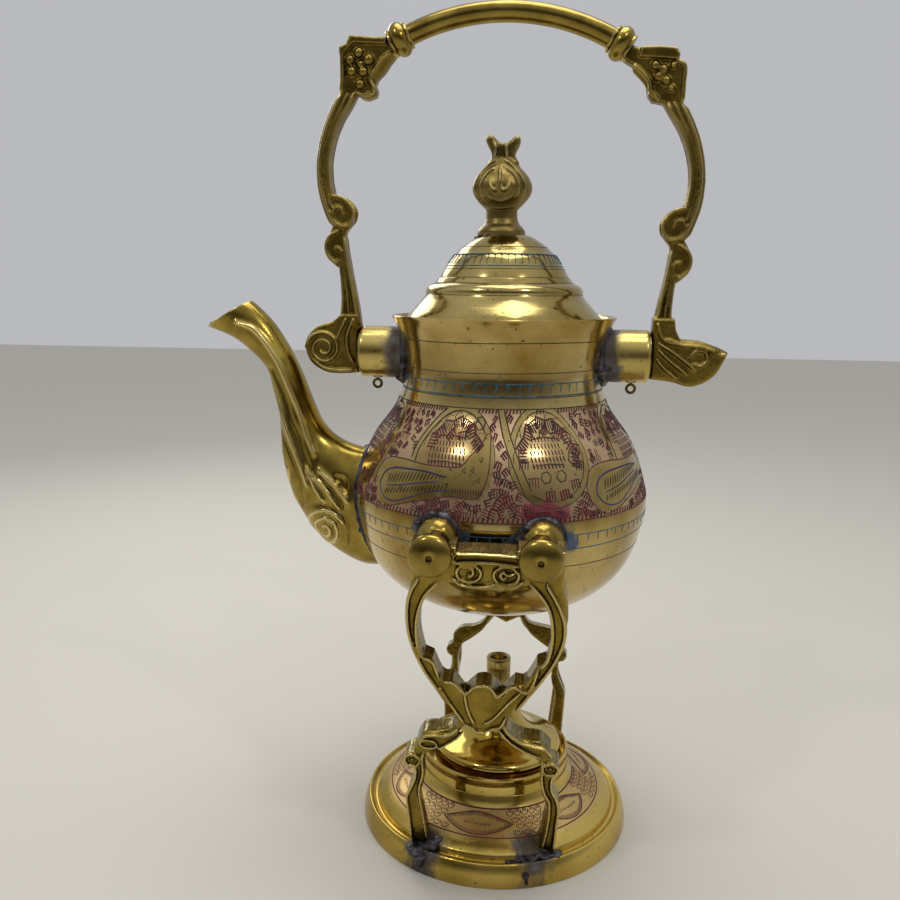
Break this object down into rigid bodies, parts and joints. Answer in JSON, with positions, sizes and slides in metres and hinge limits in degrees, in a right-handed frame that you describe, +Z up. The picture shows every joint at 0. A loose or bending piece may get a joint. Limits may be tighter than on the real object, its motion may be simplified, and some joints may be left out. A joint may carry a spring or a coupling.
{
  "type": "teapot on a spirit lamp stand",
  "caption": "Engraved brass kettle with a swan-neck spout, bail handle and lift-off lid, hung in the hooks of a cast stand over a small spirit lamp.",
  "frame": {"origin": "middle of the base's underside, on the surface that the stand rests on", "axes": "+X from the spout towards the handle's beaked foot, +Y from the front of the pot to its back, +Z up"},
  "size_m": [0.166, 0.131, 0.2621],
  "materials": {
    "spun_brass": "polished",
    "cast_brass": "aged, dark in the recesses",
    "turned_brass": "polished",
    "drawn_brass": "polished",
    "brass_wire": "dull",
    "copper_brass": "heat-tinted",
    "cotton": "woven"
  },
  "bodies": {
    "stand": {"base_dish": "spun_brass", "burner_collar": "spun_brass", "front_frame": "cast_brass", "back_frame": "cast_brass"},
    "kettle": {"pot_body": "spun_brass", "pot_foot": "spun_brass", "spout": "cast_brass", "stud_front_left": "turned_brass", "stud_front_right": "turned_brass", "stud_back_left": "turned_brass", "stud_back_right": "turned_brass", "socket_left": "drawn_brass", "socket_right": "drawn_brass", "pin_left": "brass_wire", "pin_right": "brass_wire"},
    "bail_handle": {"handle_arm_left": "cast_brass", "handle_arm_right": "cast_brass", "handle_grip": "drawn_brass", "collar_bead_left": "cast_brass", "collar_bead_right": "cast_brass", "trunnion_left": "turned_brass", "trunnion_right": "turned_brass"},
    "lid": {"lid_dome": "spun_brass", "lid_bezel": "spun_brass", "finial": "cast_brass"},
    "lamp_bowl": {"burner_bowl": "spun_brass"},
    "lamp_cap": {"burner_cap": "spun_brass", "wick_tube": "copper_brass", "wick": "cotton"}
  },
  "joints": [
    {"name": "kettle_tilt", "type": "hinge", "parent": "stand", "child": "kettle", "pos_m": [-0.0145, 0, 0.1095], "axis": [0, -1, 0], "range_deg": [0, 45]},
    {"name": "handle_swing", "type": "hinge", "parent": "kettle", "child": "bail_handle", "pos_m": [0, 0, 0.1576], "axis": [1, 0, 0], "range_deg": [-90, 90]},
    {"name": "lid_lift", "type": "slide", "parent": "kettle", "child": "lid", "axis": [0, 0, 1], "range_m": [0, 0.025]},
    {"name": "lamp_lift", "type": "slide", "parent": "stand", "child": "lamp_bowl", "axis": [0, 0, 1], "range_m": [0, 0.012]},
    {"name": "lamp_cap_lift", "type": "slide", "parent": "lamp_bowl", "child": "lamp_cap", "axis": [0, 0, 1], "range_m": [0, 0.006]}
  ]
}
